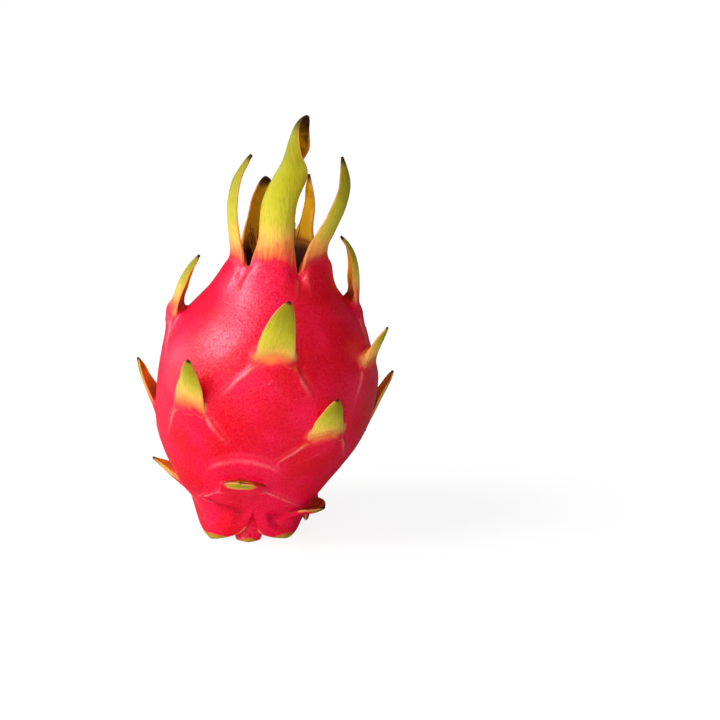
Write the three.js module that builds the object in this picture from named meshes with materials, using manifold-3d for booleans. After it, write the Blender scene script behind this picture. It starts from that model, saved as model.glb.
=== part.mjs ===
// A whole dragon fruit, standing on its stem end with its crown of bracts up.
// Millimetres, +Z up. The origin is the centre of the small flat stem scar that it stands on.
// Azimuths turn about +Z, in degrees: 0 is the front (-Y), 90 is +X, 180 the back and -90 is -X.
import * as THREE from "three";
import { mergeVertices } from "three/addons/utils/BufferGeometryUtils.js";
import Module from "manifold-3d";

// Driving dimensions of the body
const SCAR_RADIUS = 12; // the flat spot under the fruit
const RIM_RADIUS = 18.5; // the neck's rim, which the crown's bracts grow from
const RIM_HEIGHT = 117;
const BODY_SIDES = 52;
const SKIN_STEPS = 24;

// How far the body's axis leans to +X at each height
const AXIS = [
  [0, 0],
  [30, 3.7],
  [58, 7.2],
  [80, 7.7],
  [100, 9.1],
  [RIM_HEIGHT, 11.2],
];
// Radius and height of the skin, from the scar's edge up to the rim
const SKIN = [
  [SCAR_RADIUS, 0],
  [17.5, 2.6],
  [20.6, 7.5],
  [24.6, 13.5],
  [30.4, 20.5],
  [37.4, 30.5],
  [42.2, 41],
  [45.1, 52],
  [45.7, 61],
  [44.2, 71],
  [41, 80.5],
  [36.4, 89],
  [30.6, 96],
  [25.6, 102],
  [22.4, 107.5],
  [20.2, 112.5],
  [RIM_RADIUS, RIM_HEIGHT],
];
// From the rim down into the hollow where the flower sat
const HOLLOW_FLOOR = 105;
const HOLLOW = [
  [15.5, 116.6],
  [13, 111.5],
  [10.5, 107.5],
  [7.5, HOLLOW_FLOOR],
  [0, HOLLOW_FLOOR],
];

// Between the crown's bracts the rim dips: azimuth and depth of each dip
const DIPS = [
  [27, 6],
  [-42, 3.5],
  [-111, 5],
  [179, 4],
  [100, 4],
];
const DIP_WIDTH = 11; // degrees
const DIP_REACH = 16; // how far down the neck a dip is felt

// A bract is one blade. Its root runs up the skin as a raised scale, and from its base it stands free.
const SCALE_REACH = [19, 10, 3]; // how far below the base each root section lies, measured along the skin
const SCALE_PROUD = [-0.7, 0.9, 1.9]; // how far the scale stands out of the skin there
const ROOT_DEPTH = 3; // how deep the root's inner face lies in the flesh
const SHORT_BLADE = [0, 0.12, 0.3, 0.5, 0.7, 0.88, 1]; // how far along a plain blade its stations lie
const ROLLED_STATIONS = 20; // stations of a blade that rolls up
const ROLLED_CUP = 60; // a blade whose margins fold in further than this rolls up
const BASE_THICKNESS = 4.4;
const BLADE_THICKNESS = 2.2;
const TIP_THICKNESS = 1;
const MARGIN_SHARE = 0.45; // thickness at the margins, as a share of the middle's
const TIP_WIDTH = 1.2;
const FLARE = 3.5; // length over which the root's width runs out
const SPINE_STEPS = 50;

// Where each bract leaves the skin (azimuth, height), its length and width along and across the blade,
// how far up it stays wide, its lean out from the vertical and how that changes to the tip. More:
// its lean sideways (sway) and how that changes (veer), how far its margins fold in (cup) and by what
// share of its length (folded), its twist, how late it bends (power), the width of its root, how fast
// its scale widens below (spread), and how far the root is lifted off the skin (lift).
const bract = (azimuth, height, length, width, fullness, lean, curl, more = {}) => ({
  ...{ azimuth, height, length, width, fullness, lean, curl, sway: 0, veer: 0, cup: 32, twist: 0 },
  ...{ power: 1.5, root: width, spread: 0.72, lift: 0.8, folded: 0.45, way: 1 },
  ...more,
});

// The crown's bracts stand on the neck's rim
const crownBract = (azimuth, length, width, fullness, lean, curl, more) =>
  bract(azimuth, 116.5, length, width, fullness, lean, curl, { lift: -1.2, spread: 0.22, ...more });
const CROWN = [
  // The tall one in front, which rolls up towards its tip
  crownBract(-3.2, 61.3, 34, 4.2, 0, 4, {
    ...{ sway: 3, veer: 43, cup: 118, twist: -160, power: 3.4, root: 19.4, folded: 0.12 },
  }),
  crownBract(-76, 43, 18, 2.2, 10, -68, { cup: 30, power: 2 }),
  crownBract(62, 45, 21, 2, 32, -64, { cup: 38, power: 2.5, root: 18 }),
  crownBract(-146, 29, 17, 4, 2, -10, { sway: -16, cup: 44 }),
  crownBract(142, 32, 16, 2, 8, -20, { sway: -6, cup: 40, root: 18 }),
];
const BODY_BRACTS = [
  // Shoulder
  bract(98, 92, 31, 20, 1.7, 6, -62, { cup: 56, power: 2.3, root: 17, lift: 1.6 }),
  bract(-98, 88, 27.5, 21, 1.7, 2, -50, { cup: 60, power: 1, root: 17, lift: 2.6 }),
  bract(3, 81.5, 29, 20.5, 1.6, 24, 6, { sway: 8, veer: 4, cup: 34, root: 19 }),
  bract(-176, 94, 32, 19, 1.7, 8, -44, { cup: 50, root: 17 }),
  bract(70, 75, 15.5, 17, 1.4, 34, -14, { cup: 34 }),
  // Belly
  bract(-158, 66, 25, 19, 1.4, 24, -12, { sway: 6 }),
  bract(143, 67, 26, 19, 1.4, 26, -12, { sway: -6 }),
  bract(-43, 61, 23, 19.5, 1.5, 22, -8, { sway: 18, cup: 36 }),
  bract(33, 50, 18, 20, 1.5, 28, -4, { sway: -2, cup: 34 }),
  bract(-106, 50, 21, 16, 1.5, 36, -30, { cup: 36, power: 1 }),
  bract(100, 46, 21, 17, 1.5, 36, -16),
  bract(178, 45, 22, 18, 1.5, 36, -14),
  // Below the belly
  bract(-11, 27, 7.5, 24, 2.4, 54, 0, { cup: 6, root: 20, spread: 1.6, lift: 1.4, folded: 0.2 }),
  bract(-152, 28, 16, 19, 1.8, 52, -8),
  bract(138, 26, 15, 19, 1.8, 54, -8),
  bract(-88, 23, 12, 15, 1.5, 58, -12),
  bract(60, 12, 11, 24, 2.4, 96, -60),
];
// The scales round the stem hang down, so they are bracts turned half over, in two tiers
const footScale = (azimuth, height, length, width, root, lean, curl, cup, lift) =>
  bract(azimuth, height, length, width, 2.6, lean, curl, { cup, root, lift, spread: 0.12, way: -1 });
const FOOT_SCALES = [
  footScale(-42, 11.5, 11.6, 42, 34, 16, -24, 50, 1.8),
  footScale(38, 8.8, 9.2, 36, 28, 16, -24, 46, 0.8),
  footScale(106, 10, 9.8, 28, 24, 12, -22, 42, 1.2),
  footScale(170, 10, 9.8, 28, 24, 12, -22, 42, 1.2),
  footScale(-124, 10, 9.4, 30, 26, 8, -22, 42, 1),
  footScale(-2, 3.6, 6.8, 18, 11, 50, 0, 40, 0.2),
  footScale(140, 4, 7, 18, 12, 48, 8, 40, 0.6),
  footScale(-150, 4, 7, 18, 12, 48, 8, 40, 0.6),
  footScale(-84, 4, 7, 18, 12, 44, 8, 40, 0.6),
];

// The dried flower left in the hollow
const FLOWER_GAP = 0.35; // clearance between it and the fruit
const FLOWER_BASE = [4.2, 5.2, 7]; // radius at the floor, radius at the top, height
const SHREDS = 7;
const SHRED_LENGTH = [13, 19];
const SHRED_WIDTH = 3.4;
const SHRED_THICKNESS = 1.1;
const SHRED_SEED = 4;

const UP = new THREE.Vector3(0, 0, 1);
const rad = THREE.MathUtils.degToRad;
const ease = THREE.MathUtils.smoothstep;
const mix = THREE.MathUtils.lerp;

// Directions out from the axis and round it at an azimuth
const outward = (azimuth) => new THREE.Vector3(Math.sin(rad(azimuth)), -Math.cos(rad(azimuth)), 0);
const around = (azimuth) => new THREE.Vector3(Math.cos(rad(azimuth)), Math.sin(rad(azimuth)), 0);

const toPoints = (pairs) => pairs.map(([a, b]) => new THREE.Vector2(a, b));
const axisLine = new THREE.SplineCurve(toPoints(AXIS));
const skinLine = new THREE.SplineCurve(toPoints(SKIN));
const skinLength = skinLine.getLength();

// Where a rising line reaches a value, as a share of its length from 0 to 1
function shareAt(line, part, value) {
  let low = 0;
  let high = 1;
  for (let i = 0; i < 30; i++) {
    const middle = (low + high) / 2;
    if (line.getPointAt(middle)[part] < value) low = middle;
    else high = middle;
  }
  return low;
}

const skinShareAt = (height) => shareAt(skinLine, "y", height);

// The point of the body's axis at a height
function axisAt(height) {
  const share = shareAt(axisLine, "x", height);
  return new THREE.Vector3(axisLine.getPointAt(share).y, 0, height);
}

// A point of the skin, moved out along the skin's normal
function onSkin(share, azimuth, proud) {
  const line = skinLine.getPointAt(share);
  const along = skinLine.getTangentAt(share);
  const radius = line.x + proud * along.y;
  const height = line.y - proud * along.x;
  return axisAt(height).addScaledVector(outward(azimuth), radius);
}

// A closed geometry as a solid that can be joined and cut
let wasm;
function solidOf(geometry) {
  geometry.deleteAttribute("normal");
  geometry.deleteAttribute("uv");
  const merged = mergeVertices(geometry, 1e-4);
  const corners = merged.index.array;
  const kept = [];
  for (let i = 0; i < corners.length; i += 3) {
    const [a, b, c] = corners.slice(i, i + 3);
    if (a !== b && b !== c && c !== a) kept.push(a, b, c);
  }
  const mesh = new wasm.Mesh({
    numProp: 3,
    vertProperties: merged.attributes.position.array,
    triVerts: new Uint32Array(kept),
  });
  return new wasm.Manifold(mesh);
}

function geometryOf(solid) {
  const { vertProperties, triVerts } = solid.getMesh();
  const geometry = new THREE.BufferGeometry();
  geometry.setAttribute("position", new THREE.BufferAttribute(vertProperties, 3));
  geometry.setIndex(new THREE.BufferAttribute(triVerts, 1));
  geometry.computeVertexNormals();
  return geometry;
}

// Moves every vertex of a geometry to the point that place(x, y, z) gives
function reshape(geometry, place) {
  const position = geometry.attributes.position;
  for (let i = 0; i < position.count; i++) {
    const point = place(position.getX(i), position.getY(i), position.getZ(i));
    position.setXYZ(i, point.x, point.y, point.z);
  }
  return geometry;
}

// How far the rim dips at an azimuth
function dipAt(azimuth) {
  return DIPS.reduce((sum, [place, depth]) => {
    const turn = THREE.MathUtils.euclideanModulo(azimuth - place + 180, 360) - 180;
    return sum + depth * Math.exp(-((turn / DIP_WIDTH) ** 2));
  }, 0);
}

// The body: the skin line and the hollow's line turned about the axis, then leaned with it
function bodySolid() {
  const outline = [new THREE.Vector2(0, 0), ...skinLine.getSpacedPoints(SKIN_STEPS), ...toPoints(HOLLOW)];
  const lathe = new THREE.LatheGeometry(outline, BODY_SIDES);
  const place = (x, y, z) => {
    const azimuth = THREE.MathUtils.radToDeg(Math.atan2(x, z));
    const dip = dipAt(azimuth) * ease(y, RIM_HEIGHT - DIP_REACH, RIM_HEIGHT);
    const kept = Math.hypot(x, z) < HOLLOW[2][0] ? 0 : 1;
    return axisAt(y).add(new THREE.Vector3(x, -z, -dip * kept));
  };
  return solidOf(reshape(lathe, place));
}

// The middle line of a bract's free part, as points with their directions
function spineOf(b) {
  const out = outward(b.azimuth);
  const side = around(b.azimuth).multiplyScalar(b.way);
  const up = UP.clone().multiplyScalar(b.way);
  const at = onSkin(skinShareAt(b.height), b.azimuth, b.lift);
  const sections = [];
  for (let i = 0; i <= SPINE_STEPS; i++) {
    const bend = (i / SPINE_STEPS) ** b.power;
    const lean = rad(b.lean + b.curl * bend);
    const sway = rad(b.sway + b.veer * bend);
    const rise = up.clone().multiplyScalar(Math.cos(lean)).addScaledVector(out, Math.sin(lean));
    const forward = rise.clone().multiplyScalar(Math.cos(sway)).addScaledVector(side, Math.sin(sway));
    const across = side.clone().multiplyScalar(Math.cos(sway)).addScaledVector(rise, -Math.sin(sway));
    const back = out.clone().multiplyScalar(Math.cos(lean)).addScaledVector(up, -Math.sin(lean));
    const twist = rad(b.twist * ease(i / SPINE_STEPS, 0.33, 1.01));
    across.applyAxisAngle(forward, twist);
    back.applyAxisAngle(forward, twist);
    sections.push({ at: at.clone(), across, back });
    at.addScaledVector(forward, b.length / SPINE_STEPS);
  }
  return sections;
}

// Width of the free blade at a share of its length: it flares at the base and tapers to the tip
function widthAt(b, share) {
  const blade = 0.78 * b.width * Math.max(0, 1 - share ** b.fullness) ** 0.65;
  const flare = (b.root - 0.78 * b.width) * Math.exp((-share * b.length) / FLARE);
  return Math.max(TIP_WIDTH, blade + flare);
}

function thicknessAt(share, lane) {
  const early = Math.exp(-share / 0.08);
  const middle = mix(mix(BLADE_THICKNESS, TIP_THICKNESS, share), BASE_THICKNESS, early);
  return Math.max(0.7, middle * mix(1, MARGIN_SHARE, lane * lane));
}

// A point of the free blade: lane runs across it from -1 to 1, and face is 1 outside and -1 inside
function onBlade(b, spine, share, lane, face) {
  const { at, across, back } = spine[Math.round(share * SPINE_STEPS)];
  const rootFold = b.root / 2 / skinLine.getPointAt(skinShareAt(b.height)).x;
  const fold = mix(rootFold, rad(b.cup), ease(share, 0, b.folded));
  const bendRadius = widthAt(b, share) / 2 / fold;
  const half = (face * thicknessAt(share, lane)) / 2;
  const turn = fold * lane;
  return at
    .clone()
    .addScaledVector(across, bendRadius * Math.sin(turn) + half * Math.sin(turn))
    .addScaledVector(back, -bendRadius * (1 - Math.cos(turn)) + half * Math.cos(turn));
}

// A point of the root, which lies along the skin below the base
function onRoot(b, section, lane, face) {
  const reach = SCALE_REACH[section] * (b.way > 0 ? Math.min(1, b.height / 24) : 0.5);
  const share = Math.max(0.02, skinShareAt(b.height) - (b.way * reach) / skinLength);
  const half = b.root / 2 + b.spread * reach;
  const radius = skinLine.getPointAt(share).x;
  const azimuth = b.azimuth + THREE.MathUtils.radToDeg((b.way * lane * half) / radius);
  const proud = face > 0 ? SCALE_PROUD[section] * mix(1, 0.6, lane * lane) : -ROOT_DEPTH;
  return onSkin(share, azimuth, proud);
}

function bractSolid(b) {
  const spine = spineOf(b);
  const rolled = b.cup > ROLLED_CUP;
  const blade = rolled ? Array.from({ length: ROLLED_STATIONS + 1 }, (_, i) => i / ROLLED_STATIONS) : SHORT_BLADE;
  const stations = SCALE_REACH.length + blade.length;
  const box = new THREE.BoxGeometry(2, stations - 1, 2, rolled ? 8 : 4, stations - 1, 1);
  const place = (lane, y, face) => {
    const station = Math.round(y + (stations - 1) / 2);
    if (station < SCALE_REACH.length) return onRoot(b, station, lane, face);
    return onBlade(b, spine, blade[station - SCALE_REACH.length], lane, face);
  };
  return solidOf(reshape(box, place));
}

// Everything that grew as one piece, cut level with the surface that it stands on
function fruitSolid() {
  const bracts = [...CROWN, ...BODY_BRACTS, ...FOOT_SCALES].map(bractSolid);
  const below = solidOf(new THREE.BoxGeometry(200, 200, 40).translate(0, 0, -20));
  return bracts.reduce((fruit, next) => fruit.add(next), bodySolid()).subtract(below);
}

// A repeatable random number from 0 to 1
function dice(seed) {
  let state = seed;
  return () => {
    state = (state * 16807) % 2147483647;
    return state / 2147483647;
  };
}

// The dried flower: a stub with shrivelled shreds of petal round it
function flowerSolid() {
  const roll = dice(SHRED_SEED);
  const [foot, top, height] = FLOWER_BASE;
  const floor = HOLLOW_FLOOR + FLOWER_GAP;
  const centre = axisAt(floor);
  const stub = new THREE.CylinderGeometry(top, foot, height, 12, 2);
  stub.rotateX(Math.PI / 2).translate(centre.x, centre.y, floor + height / 2);
  let flower = solidOf(stub);
  for (let i = 0; i < SHREDS; i++) {
    const azimuth = (360 * i) / SHREDS + 30 * roll();
    const length = mix(...SHRED_LENGTH, roll());
    const lean = mix(-4, 14, roll());
    const out = outward(azimuth);
    const side = around(azimuth + mix(-30, 30, roll()));
    const box = new THREE.BoxGeometry(2, 1, 2, 2, 6, 1);
    const shred = reshape(box, (lane, y, face) => {
      const share = y + 0.5;
      const width = (SHRED_WIDTH / 2) * (1.05 - share ** 2);
      const drift = length * share * Math.sin(rad(lean * (1 - share)));
      return centre
        .clone()
        .addScaledVector(out, top - 2 + drift - 1.2 * share)
        .addScaledVector(side, lane * Math.max(0.5, width))
        .addScaledVector(out, (face * SHRED_THICKNESS) / 2)
        .addScaledVector(UP, height - 3 + length * share);
    });
    flower = flower.add(solidOf(shred));
  }
  return flower;
}

const skinFinish = new THREE.MeshStandardMaterial({ color: 0xd81f52, roughness: 0.42, metalness: 0 });
const flowerFinish = new THREE.MeshStandardMaterial({ color: 0x4a2412, roughness: 0.9, metalness: 0 });

wasm = await Module();
wasm.setup();

const dragonFruit = new THREE.Group();
const fruit = new THREE.Mesh(geometryOf(fruitSolid()), skinFinish);
fruit.name = "fruit";
const driedFlower = new THREE.Mesh(geometryOf(flowerSolid()), flowerFinish);
driedFlower.name = "dried_flower";
dragonFruit.add(fruit, driedFlower);

export default dragonFruit;
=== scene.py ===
import math
import random
from bisect import bisect_left

import bmesh
import bpy
from mathutils import Matrix, Vector, geometry, noise


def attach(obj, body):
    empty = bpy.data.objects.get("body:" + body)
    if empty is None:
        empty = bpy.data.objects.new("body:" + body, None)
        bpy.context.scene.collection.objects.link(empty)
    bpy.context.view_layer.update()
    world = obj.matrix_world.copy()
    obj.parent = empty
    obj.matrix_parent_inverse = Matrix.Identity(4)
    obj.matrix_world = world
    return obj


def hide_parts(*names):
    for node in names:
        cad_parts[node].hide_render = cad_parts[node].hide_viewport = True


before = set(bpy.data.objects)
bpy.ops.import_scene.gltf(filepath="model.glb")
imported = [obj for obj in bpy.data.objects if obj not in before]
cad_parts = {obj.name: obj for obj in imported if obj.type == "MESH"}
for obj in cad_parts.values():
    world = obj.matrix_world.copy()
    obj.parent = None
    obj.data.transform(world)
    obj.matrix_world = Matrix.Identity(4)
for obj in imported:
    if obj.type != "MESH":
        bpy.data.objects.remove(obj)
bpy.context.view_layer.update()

# Lengths are millimetres until a mesh is finished. Azimuths turn about +Z, in degrees: 0 is the
# front (-Y), 90 is +X, 180 the back and -90 is -X.
MM = 0.001

# The body: how far its axis leans to +X at each height, and its skin from the scar's edge to the rim
SIDES = 144
STEP = 360 / SIDES
SKIN_ROWS = 66
RIM_RADIUS = 18.5
RIM_HEIGHT = 117
AXIS = [(0, 0), (30, 3.7), (58, 7.2), (80, 7.7), (100, 9.1), (RIM_HEIGHT, 11.2)]
SKIN = [
    (12, 0),
    (17.5, 2.6),
    (20.6, 7.5),
    (24.6, 13.5),
    (30.4, 20.5),
    (37.4, 30.5),
    (42.2, 41),
    (45.1, 52),
    (45.7, 61),
    (44.2, 71),
    (41, 80.5),
    (36.4, 89),
    (30.6, 96),
    (25.6, 102),
    (22.4, 107.5),
    (20.2, 112.5),
    (RIM_RADIUS, RIM_HEIGHT),
]
SCAR = [(0, 1.1), (2.5, 0.9), (5, 0.9), (7.5, 0.3), (9, 0), (10.5, 0)]
HOLLOW = [(16, 116.6), (14, 113.6), (12.6, 110.6), (11, 108), (9, 106), (6, 105), (3, 104.8), (0, 104.8)]
FIRST_SKIN_ROW = len(SCAR)
RIM_ROW = FIRST_SKIN_ROW + SKIN_ROWS
# The body is a little uneven, in slow waves with finer ones on them
WAVE_DEPTH = 0.7
WAVE_SIZE = 34
FINE_WAVE_SHARE = 0.4
FINE_WAVE_SIZE = 11
WAVE_FREE_SCAR = 8  # lengths over which the waves fade out towards the scar and the rim
WAVE_FREE_RIM = 6

# The raised scale below each bract
SCALE_REACH = 19
FULL_REACH_HEIGHT = 26  # lower down, the scales are shorter
SCALE_START = -2.5  # where the relief sets in, above the base
SCALE_RISE = 1.0
SCALE_FADE_POWER = 1.5  # how fast it runs out further down
LEDGE_WIDTH = 3.2
SPREAD_POWER = 0.92  # how evenly the scale widens further down
FOOT_REACH = 9
FOOT_SPREAD = 0.12
LIP_RISE = 2.2
LIP_LENGTH = 4.5
USUAL_LIFT = 0.8
GROOVE_DEPTH = 0.35
GROOVE_PLACE = 2.4  # how far outside the scale's edge the groove runs
GROOVE_WIDTH = 1.4
ARCH = 4.0  # how far the ends of a bract's base lie below its middle
ARCH_REACH = 9.0
ARCH_FADE = 0.4  # how far the arch carries on beyond the base's ends, in half widths of the base
ARCH_FREE_SCAR = 6  # length over which the arches fade out towards the scar
EDGE_WOBBLE = 1.1  # how far the scale's edge wanders
EDGE_WOBBLE_SIZE = 8
NEARBY = 25  # a bract marks the skin no further from it than this

# The thin ridge along a scale's edge
CREST_HEIGHT = 0.7
CREST_WIDTH = 1.2
CREST_STRENGTH = 1.7
CREST_START = 2.5
CREST_FULL = 5.5
CROWN_CREST = 0.35

# The free blade of each bract
BASE_THICKNESS = 4.2
BASE_LENGTH = 3  # length over which the base's thickness runs out
BLADE_THICKNESS = 2.2
TIP_THICKNESS = 1.0
LEAST_THICKNESS = 0.7
MARGIN_SHARE = 0.42
BLADE_WIDTH_SHARE = 0.78
TAPER_POWER = 0.65
TIP_WIDTH = 1.1
TWIST_START = 0.3
TWIST_END = 1.11
SPINE_STEPS = 240
RING_GAP = 2.3
RING_CROWDING = 1.3
LAST_RING = 0.985
ROOT_BLEND = 6.0  # length over which a root turns into the blade
ROOT_BLEND_SHARE = 0.45
MARGIN_LAG = 0.6  # how much less the root's ends are drawn out than its middle
FLARE = 3.5  # length over which the root's width runs out
RIPPLE = 0.9  # how far the margins wave
RIPPLE_SIZE = 7
EDGING_WIDTH = 1.8
SOFT_REACH = 6.0  # how far round a base its fold is softened
SOFT_FULL = 2
SOFT_ROUNDS = 10
SOFT_STEP = 0.5
LEAST_SOFT = 0.02

# The lid of skin over a bract
LID_RISE = 1.1
LID_WIDTH = 0.9  # its half width, in widths of the root
LID_START = -1.5
LID_CREST = 0.42

# In front, the skin hangs over the scales at the foot: azimuth and height along its edge
OVERHANG = [
    (-75, 25),
    (-53, 22.4),
    (-33, 18),
    (-9, 15.5),
    (4, 13.5),
    (18, 12.8),
    (45, 13.2),
    (58, 15),
    (78, 21),
]
OVERHANG_TOP = 40
OVERHANG_RISE = 1.5
OVERHANG_EDGE = 1.3
OVERHANG_REACH = 14
OVERHANG_GROOVE = 0.8
CREASE_PLACE = 1.4  # how far below the edge the crease runs
CREASE_WIDTH = 1.1

# The neck is fuller on its right side
NECK_BULGE_AZIMUTH = 82
NECK_BULGE_HEIGHT = 113
NECK_BULGE_RISE = 2.6
NECK_BULGE_REACH = 9
NECK_BULGE_TURN = 32

# The marks that the colours follow
PLAIN_SHADE = -3  # skin that is far from any bract
FAR_EDGE = 8  # the distance to a scale's edge is kept up to this
EDGE_FALL = 4  # where edges compete, one this much further off counts for about a third
FAINTEST_EDGE = 0.02


def bract(azimuth, height, length, width, fullness, lean, curl, sway=0, veer=0, cup=32, twist=0,
          power=1.5, root=None, spread=(0.9, 0.9), blush=0.1, turning=10, fringe=0, dry=0.08,
          edging=False, lift=USUAL_LIFT, folded=0.45, fold=0, way=1):
    """One bract: where it leaves the skin, its length and width, how far up it stays wide, its lean
    out from the vertical and how that changes to the tip, its lean sideways and how that changes,
    how much its margins fold in, its twist, how late it bends, the width of its root, how fast its
    scale widens on each side, where along it the pink ends and over what length, how much further
    the pink runs up its margins, how much of the tip is dry, whether its margins are edged in orange,
    how far the root is lifted off the skin, the share of its length by which its margins have folded
    in, and how far above it the skin is folded. A way of -1 is a bract that hangs down."""
    return dict(azimuth=azimuth, height=height, length=length, width=width, fullness=fullness,
                lean=lean, curl=curl, sway=sway, veer=veer, cup=cup, twist=twist, power=power,
                root=root or width, spread=spread, blush=blush, turning=turning, fringe=fringe,
                dry=dry, edging=edging, lift=lift, folded=folded, fold=fold, way=way)


def crown_bract(azimuth, length, width, fullness, lean, curl, **rest):
    """A bract that grows from the neck's rim."""
    return bract(azimuth, 116.5, length, width, fullness, lean, curl, lift=-1.2, spread=(0.22, 0.22),
                 **rest)


def foot_scale(azimuth, height, length, width, root, lean, curl, cup, lift):
    """A scale that hangs down round the stem."""
    return bract(azimuth, height, length, width, 2.6, lean, curl, cup=cup, root=root, blush=0.85,
                 turning=2.2, fringe=0.7, edging=True, lift=lift, spread=(FOOT_SPREAD, FOOT_SPREAD),
                 way=-1)


CROWN = [
    crown_bract(-3.8, 61.2, 34.3, 4.1, 0, -3, sway=3, veer=44, cup=117, twist=-173, power=3.4, root=19.4,
                blush=0.115, turning=12, dry=0.2, folded=0.12),
    crown_bract(-76, 43, 18, 2.2, 10, -61, cup=30, power=2, root=18, blush=0.12, dry=0.12),
    crown_bract(64, 45, 24, 1.7, 33, -66, cup=38, power=2.5, root=20, blush=0.12, turning=12, dry=0.14),
    crown_bract(-146, 29, 18, 7, 2, -10, sway=-12, cup=44, root=17, blush=-0.1, dry=0.25),
    crown_bract(142, 30.5, 9.5, 2, 8, -20, sway=-13, veer=20, cup=40, root=17, blush=-0.1, dry=0.12),
]
# Between the crown's bracts the rim dips: azimuth and depth of each dip
DIPS = [(27, 6), (-42, 3.5), (-111, 5), (179, 4), (100, 4)]
DIP_WIDTH = 11
DIP_REACH = 16

BODY_BRACTS = [
    bract(98, 92, 31, 20, 1.7, 6, -62, cup=56, power=2.3, root=17, blush=0.28, lift=1.6),
    bract(-98, 88, 27.5, 21, 1.7, 2, -50, cup=60, power=1, root=17, blush=0.3, lift=2.6),
    bract(3, 81.5, 29, 20.5, 1.6, 24, 6, sway=8, veer=4, cup=34, root=16.5, blush=0.04, turning=8,
          spread=(1.3, 0.6)),
    bract(-176, 94, 32, 19, 1.7, 8, -44, cup=50, root=17, blush=0.25),
    bract(70, 75, 15.5, 17, 1.4, 34, -14, cup=34, blush=0.15),
    bract(-158, 66, 25, 19, 1.4, 24, -12, sway=6),
    bract(143, 67, 26, 19, 1.4, 26, -12, sway=-6),
    bract(-43, 61, 23, 19.5, 1.5, 22, -8, sway=18, cup=36, root=17.5, blush=0.18, spread=(0.6, 1.0)),
    bract(33, 50, 18, 20, 1.5, 28, -4, sway=-2, cup=34, root=18, blush=0.08, turning=7,
          spread=(1.3, 0.9)),
    bract(-103, 50, 21, 19, 1.5, 38, -28, cup=36, power=1, blush=0.4),
    bract(100, 46, 21, 17, 1.5, 36, -16, blush=0.2),
    bract(178, 45, 22, 18, 1.5, 36, -14, blush=0.2),
    # The short one in front, which shows as a green slit below its lid of skin
    bract(-10, 27.3, 5.0, 24, 2.6, 52, 0, cup=6, root=20, spread=(1.7, 1.5), blush=0.4, turning=2,
          fringe=1.6, dry=0, lift=1.0, folded=0.2, fold=14),
    bract(-152, 28, 16, 19, 1.8, 52, -8, blush=0.35),
    bract(138, 26, 15, 19, 1.8, 54, -8, blush=0.35),
    bract(-88, 23, 12, 15, 1.5, 58, -12, blush=0.35),
    bract(60, 11, 11.5, 26, 2.4, 98, -50, blush=0.75, turning=3, fringe=0.6, edging=True),
]
# Two tiers of scales round the stem: the upper five, then the lower ones between them
FOOT_SCALES = [
    foot_scale(-41, 11.5, 11.6, 41, 33, 12, -20, 54, 1.1),
    foot_scale(38, 8.8, 9.2, 36, 28, 16, -24, 46, 0.8),
    foot_scale(106, 10, 9.8, 28, 24, 12, -22, 42, 1.2),
    foot_scale(170, 10, 9.8, 28, 24, 12, -22, 42, 1.2),
    foot_scale(-126, 10, 9.0, 28, 24, 6, -22, 46, 0.8),
    foot_scale(-2, 3.6, 6.8, 18, 11, 50, 0, 40, 0.2),
    foot_scale(140, 4, 7, 18, 12, 48, 8, 40, 0.6),
    foot_scale(-150, 4, 7, 18, 12, 48, 8, 40, 0.6),
    foot_scale(-90, 4, 5, 14, 11, 14, 0, 40, 0.3),
]
BRACTS = CROWN + BODY_BRACTS + FOOT_SCALES


def mix(a, b, share):
    return a + (b - a) * share


def ease(low, high, value):
    """0 at low, 1 at high and a smooth step between. It falls where low is above high."""
    t = min(1, max(0, (value - low) / (high - low)))
    return t * t * (3 - 2 * t)


def hump(value, width):
    """1 at 0, and near 0 from twice the width on."""
    return math.exp(-(value / width) ** 2)


def turn_from(azimuth, middle):
    """How far an azimuth is turned from another, from -180 to 180."""
    return (azimuth - middle + 180) % 360 - 180


def outward(azimuth):
    a = math.radians(azimuth)
    return Vector((math.sin(a), -math.cos(a), 0))


def around(azimuth):
    a = math.radians(azimuth)
    return Vector((math.cos(a), math.sin(a), 0))


class Line:
    """A smooth line through flat points, measured along its length."""

    def __init__(self, points):
        knots = [Vector(p) for p in points]
        last = len(knots) - 1
        self.points = [knots[0]]
        for i in range(last):
            before, here = knots[max(0, i - 1)], knots[i]
            there, after = knots[i + 1], knots[min(last, i + 2)]
            span = geometry.interpolate_bezier(
                here, here + (there - before) / 6, there - (after - here) / 6, there, 30)
            self.points += span[1:]
        self.reached = [0]
        for a, b in zip(self.points, self.points[1:]):
            self.reached.append(self.reached[-1] + (b - a).length)
        self.length = self.reached[-1]

    def at(self, distance):
        """The point and the direction at a distance along the line."""
        i = min(len(self.points) - 1, max(1, bisect_left(self.reached, distance)))
        a, b = self.points[i - 1], self.points[i]
        share = (distance - self.reached[i - 1]) / (self.reached[i] - self.reached[i - 1])
        return a.lerp(b, share), (b - a).normalized()

    def where(self, part, value):
        """The distance at which a rising line's x (0) or y (1) reaches a value."""
        low, high = 0, self.length
        for _ in range(30):
            middle = (low + high) / 2
            if self.at(middle)[0][part] < value:
                low = middle
            else:
                high = middle
        return low


axis_line = Line(AXIS)
skin_line = Line(SKIN)
overhang_line = Line(OVERHANG)


def axis_at(height):
    """The body's axis at a height."""
    return Vector((axis_line.at(axis_line.where(0, height))[0].y, 0, height))


def on_skin(distance, azimuth, proud=0):
    """A point of the skin at a distance from the scar's edge, moved out along the skin's normal."""
    point, along = skin_line.at(distance)
    radius = point.x + proud * along.y
    height = point.y - proud * along.x
    return axis_at(height) + outward(azimuth) * radius


for b in BRACTS:
    b["distance"] = skin_line.where(1, b["height"])
    b["radius"] = skin_line.at(b["distance"])[0].x


def dip_at(azimuth):
    """How far the rim dips at an azimuth."""
    return sum(depth * hump(turn_from(azimuth, place), DIP_WIDTH) for place, depth in DIPS)


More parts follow.
